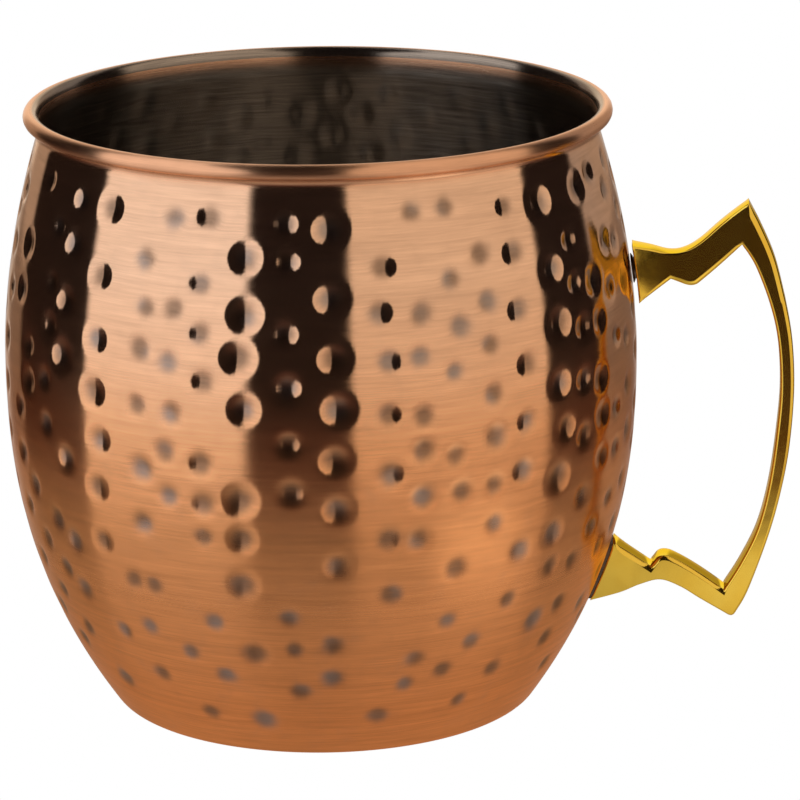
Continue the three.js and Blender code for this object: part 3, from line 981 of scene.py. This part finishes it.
# %% [markdown]
# ### Brass
#
# The casting was polished on a wheel, so it is nearly a mirror, with faint waves left by the
# polishing and a tone that changes slightly from place to place.

# %% Finish the handle
BRASS = (0.96, 0.67, 0.10)
BRASS_DEEP = (0.90, 0.55, 0.05)
BRASS_EDGE = (1.0, 0.78, 0.32, 1.0)
BRASS_ROUGHNESS = (0.06, 0.16)
TONE_RANGE = (0.40, 0.70)
DEEP_SHARE = 0.6                # how far the tone goes towards the deeper colour


def make_brass():
    material, tree, shader = new_metal("polished_brass", 0.09, 0.0)
    shader.inputs["Specular Tint"].default_value = BRASS_EDGE
    place = add_node(tree, "ShaderNodeTexCoord").outputs["Object"]
    tone = add_node(tree, "ShaderNodeTexNoise", {"Vector": place, "Scale": 60.0, "Detail": 4.0})
    blend = add_range(tree, tone.outputs["Fac"], TONE_RANGE, (0.0, DEEP_SHARE))
    tree.links.new(add_mix(tree, blend, BRASS, BRASS_DEEP), shader.inputs["Base Color"])
    grain = add_node(tree, "ShaderNodeTexNoise", {"Vector": place, "Scale": 900.0, "Detail": 2.0})
    rough = add_range(tree, grain.outputs["Fac"], target=BRASS_ROUGHNESS)
    tree.links.new(rough, shader.inputs["Roughness"])
    wave = add_node(tree, "ShaderNodeTexNoise", {"Vector": place, "Scale": 120.0, "Detail": 1.0})
    bump = add_node(tree, "ShaderNodeBump",
                    {"Height": wave.outputs["Fac"], "Strength": 0.15, "Distance": 0.0005})
    tree.links.new(bump.outputs[0], shader.inputs["Normal"])
    return material


handle = link_piece(build_handle(), "cast_handle", [make_brass()])
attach(handle, "root")
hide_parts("handle")
print("handle faces:", len(handle.data.polygons))

# %% [markdown]
# ## Studs and weld metal
#
# The studs and the upper collar of weld metal sit in the narrow gap behind the feet. Their CAD shapes
# are right as they are, so they stay and only get their finish: dark steel with a brown tint, partly
# the joint's own dark metal and partly painted shade of the narrow gap. The weld behind the lower foot
# fills the whole joint in the real mug. It is built again as a block that is bent to the wall, out to
# the edges of the foot.

# %% Build the lower weld
WELD_BOTTOM = 32.0
WELD_TOP = 50.7
WELD_HALF_WIDTH = 5.3
WELD_INNER = -0.30
WELD_OUTER = 0.86
WELD_FLOW = 0.25            # how far the sides of the weld wave in and out, and how often
WELD_WAVES = 1.9


def build_weld():
    bm = bmesh.new()
    bmesh.ops.create_cube(bm, size=1.0)
    bmesh.ops.subdivide_edges(bm, edges=bm.edges, cuts=9, use_grid_fill=True)
    for vertex in bm.verts:
        out, across, up = (c + 0.5 for c in vertex.co)
        z = WELD_BOTTOM + (WELD_TOP - WELD_BOTTOM) * up
        y = WELD_HALF_WIDTH * (2 * across - 1)
        x, z = foot_point(z, WELD_INNER + (WELD_OUTER - WELD_INNER) * out)
        flow = WELD_FLOW * math.sin(WELD_WAVES * z) * out * (2 * across - 1)
        sag = (y * MM) ** 2 / (2 * wall_radius(z * MM)) / MM * (1 - out)
        vertex.co = Vector((x - sag, y + flow, z)) * MM
    bmesh.ops.recalc_face_normals(bm, faces=bm.faces)
    return bm


# %% Finish the studs and welds
# dark steel for the studs and welds: partly the joint's own dark metal, partly painted shade of the
# narrow gap behind the feet
def make_dark_steel_with_painted_shade(name, colour, tint, roughness):
    material, tree, shader = new_metal(name, roughness, 0.0)
    place = add_node(tree, "ShaderNodeTexCoord").outputs["Object"]
    cloud = add_node(tree, "ShaderNodeTexNoise", {"Vector": place, "Scale": 500.0, "Detail": 5.0})
    colours = add_ramp(tree, cloud.outputs["Fac"], [(0.35, colour), (0.65, tint)])
    tree.links.new(colours, shader.inputs["Base Color"])
    rough = add_range(tree, cloud.outputs["Fac"], target=(roughness - 0.1, roughness + 0.2))
    tree.links.new(rough, shader.inputs["Roughness"])
    bump = add_node(tree, "ShaderNodeBump",
                    {"Height": cloud.outputs["Fac"], "Strength": 0.4, "Distance": 0.0003})
    tree.links.new(bump.outputs[0], shader.inputs["Normal"])
    return material


# the dark colours of studs and weld carry painted shade of the gap on top of the metal's own dark tone
stud_steel = make_dark_steel_with_painted_shade("stud_steel", (0.20, 0.17, 0.15), (0.10, 0.08, 0.08), 0.3)
weld_metal = make_dark_steel_with_painted_shade("weld_metal", (0.13, 0.11, 0.10), (0.22, 0.15, 0.10), 0.5)
for node_name, material, slot_name in (
    ("upper_stud", stud_steel, "stud_steel"),
    ("lower_stud", stud_steel, "stud_steel"),
    ("upper_weld", weld_metal, "weld_metal"),
):
    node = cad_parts[node_name]
    node.data.materials.clear()
    node.data.materials.append(material)

weld = link_piece(build_weld(), "lower_weld_bead", [weld_metal])
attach(weld, "root")
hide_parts("lower_weld")
print("weld faces:", len(weld.data.polygons))
